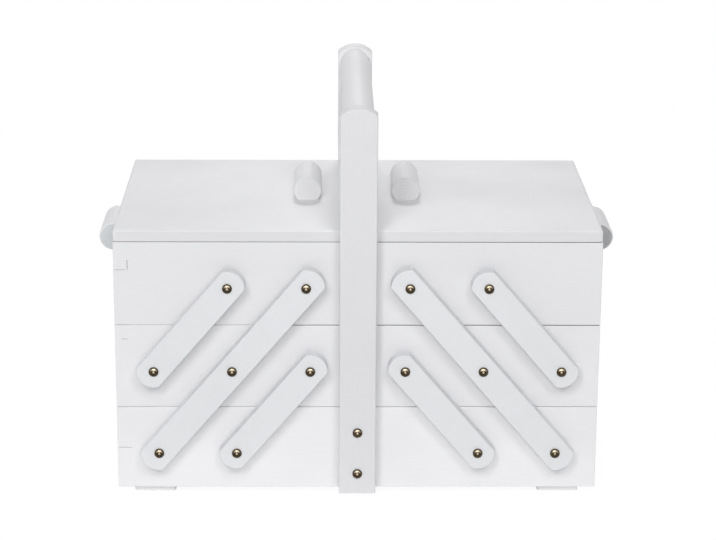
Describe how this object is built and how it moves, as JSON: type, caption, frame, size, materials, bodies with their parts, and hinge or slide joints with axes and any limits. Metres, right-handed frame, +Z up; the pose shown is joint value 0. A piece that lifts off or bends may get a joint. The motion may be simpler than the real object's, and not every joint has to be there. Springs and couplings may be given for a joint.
{
  "type": "cantilever sewing carrier",
  "caption": "Painted wooden sewing carrier whose stacked trays swing out on cantilever arms, with hinged lids, side pulls and a fixed carrying handle.",
  "frame": {"origin": "middle of the base, on the surface that the feet stand on", "axes": "+X to the right along the trays, +Y to the rear, +Z up; the front faces -Y"},
  "size_m": [0.461, 0.2854, 0.351],
  "materials": {
    "tray_paint": "white satin paint over close-grained wood, grain faintly raised",
    "floor_paint": "thin white paint over plywood",
    "lid_paint": "white satin paint, grain along the lid",
    "arm_paint": "white satin paint, eased edges",
    "handle_paint": "white satin paint, upright grain",
    "grip_paint": "white satin paint over turned rod, end grain at the ends",
    "screw_brass": "antique brass plating, dark in the recess",
    "hinge_brass": "brass-plated steel, satin"
  },
  "bodies": {
    "bottom_tray": {"bottom_front_wall": "tray_paint", "bottom_rear_wall": "tray_paint", "bottom_left_end": "tray_paint", "bottom_right_end": "tray_paint", "bottom_floor": "floor_paint", "feet": "tray_paint", "front_post": "handle_paint", "rear_post": "handle_paint", "handle_bar": "handle_paint", "post_screws": "screw_brass", "bottom_pivot_screws": "screw_brass"},
    "left_long_arms": {"left_front_long_arm": "arm_paint", "left_rear_long_arm": "arm_paint"},
    "left_mid_tray": {"left_mid_front_wall": "tray_paint", "left_mid_rear_wall": "tray_paint", "left_mid_outer_end": "tray_paint", "left_mid_inner_end": "tray_paint", "left_mid_floor": "floor_paint", "left_mid_pivot_screws": "screw_brass"},
    "left_top_tray": {"left_top_front_wall": "tray_paint", "left_top_rear_wall": "tray_paint", "left_top_outer_end": "tray_paint", "left_top_inner_end": "tray_paint", "left_top_floor": "floor_paint", "left_top_pivot_screws": "screw_brass", "left_side_pull": "grip_paint", "left_hinge_tray_leaves": "hinge_brass", "left_hinge_pins": "hinge_brass"},
    "left_upper_arms": {"left_front_upper_arm": "arm_paint", "left_rear_upper_arm": "arm_paint"},
    "left_lower_arms": {"left_front_lower_arm": "arm_paint", "left_rear_lower_arm": "arm_paint"},
    "left_lid_body": {"left_lid": "lid_paint", "left_lid_knob": "grip_paint", "left_hinge_lid_leaves": "hinge_brass"},
    "right_long_arms": {"right_front_long_arm": "arm_paint", "right_rear_long_arm": "arm_paint"},
    "right_mid_tray": {"right_mid_front_wall": "tray_paint", "right_mid_rear_wall": "tray_paint", "right_mid_outer_end": "tray_paint", "right_mid_inner_end": "tray_paint", "right_mid_floor": "floor_paint", "right_mid_pivot_screws": "screw_brass"},
    "right_top_tray": {"right_top_front_wall": "tray_paint", "right_top_rear_wall": "tray_paint", "right_top_outer_end": "tray_paint", "right_top_inner_end": "tray_paint", "right_top_floor": "floor_paint", "right_top_pivot_screws": "screw_brass", "right_side_pull": "grip_paint", "right_hinge_tray_leaves": "hinge_brass", "right_hinge_pins": "hinge_brass"},
    "right_upper_arms": {"right_front_upper_arm": "arm_paint", "right_rear_upper_arm": "arm_paint"},
    "right_lower_arms": {"right_front_lower_arm": "arm_paint", "right_rear_lower_arm": "arm_paint"},
    "right_lid_body": {"right_lid": "lid_paint", "right_lid_knob": "grip_paint", "right_hinge_lid_leaves": "hinge_brass"}
  },
  "joints": [
    {"name": "left_trays_open", "type": "hinge", "parent": "bottom_tray", "child": "left_long_arms", "pos_m": [-0.1725, 0, 0.0435], "axis": [0, -1, 0], "range_deg": [0, 80.95]},
    {"name": "left_mid_tray_level", "type": "hinge", "parent": "left_long_arms", "child": "left_mid_tray", "pos_m": [-0.1085, 0, 0.1185], "axis": [0, -1, 0], "range_deg": [-80.95, 0]},
    {"name": "left_top_tray_level", "type": "hinge", "parent": "left_long_arms", "child": "left_top_tray", "pos_m": [-0.0445, 0, 0.1935], "axis": [0, -1, 0], "range_deg": [-80.95, 0]},
    {"name": "left_upper_arms_turn", "type": "hinge", "parent": "left_mid_tray", "child": "left_upper_arms", "pos_m": [-0.176, 0, 0.1185], "axis": [0, -1, 0], "range_deg": [0, 80.95]},
    {"name": "left_lower_arms_turn", "type": "hinge", "parent": "bottom_tray", "child": "left_lower_arms", "pos_m": [-0.105, 0, 0.0435], "axis": [0, -1, 0], "range_deg": [0, 80.95]},
    {"name": "left_lid_hinge", "type": "hinge", "parent": "left_top_tray", "child": "left_lid_body", "pos_m": [-0.2103, 0, 0.23075], "axis": [0, -1, 0], "range_deg": [0, 165]},
    {"name": "right_trays_open", "type": "hinge", "parent": "bottom_tray", "child": "right_long_arms", "pos_m": [0.1725, 0, 0.0435], "axis": [0, 1, 0], "range_deg": [0, 80.95]},
    {"name": "right_mid_tray_level", "type": "hinge", "parent": "right_long_arms", "child": "right_mid_tray", "pos_m": [0.1085, 0, 0.1185], "axis": [0, 1, 0], "range_deg": [-80.95, 0]},
    {"name": "right_top_tray_level", "type": "hinge", "parent": "right_long_arms", "child": "right_top_tray", "pos_m": [0.0445, 0, 0.1935], "axis": [0, 1, 0], "range_deg": [-80.95, 0]},
    {"name": "right_upper_arms_turn", "type": "hinge", "parent": "right_mid_tray", "child": "right_upper_arms", "pos_m": [0.176, 0, 0.1185], "axis": [0, 1, 0], "range_deg": [0, 80.95]},
    {"name": "right_lower_arms_turn", "type": "hinge", "parent": "bottom_tray", "child": "right_lower_arms", "pos_m": [0.105, 0, 0.0435], "axis": [0, 1, 0], "range_deg": [0, 80.95]},
    {"name": "right_lid_hinge", "type": "hinge", "parent": "right_top_tray", "child": "right_lid_body", "pos_m": [0.2103, 0, 0.23075], "axis": [0, 1, 0], "range_deg": [0, 165]}
  ],
  "couplings": [
    {"joint": "left_mid_tray_level", "follows": "left_trays_open", "ratio": -1},
    {"joint": "left_top_tray_level", "follows": "left_trays_open", "ratio": -1},
    {"joint": "left_upper_arms_turn", "follows": "left_trays_open", "ratio": 1},
    {"joint": "left_lower_arms_turn", "follows": "left_trays_open", "ratio": 1},
    {"joint": "right_mid_tray_level", "follows": "right_trays_open", "ratio": -1},
    {"joint": "right_top_tray_level", "follows": "right_trays_open", "ratio": -1},
    {"joint": "right_upper_arms_turn", "follows": "right_trays_open", "ratio": 1},
    {"joint": "right_lower_arms_turn", "follows": "right_trays_open", "ratio": 1}
  ]
}
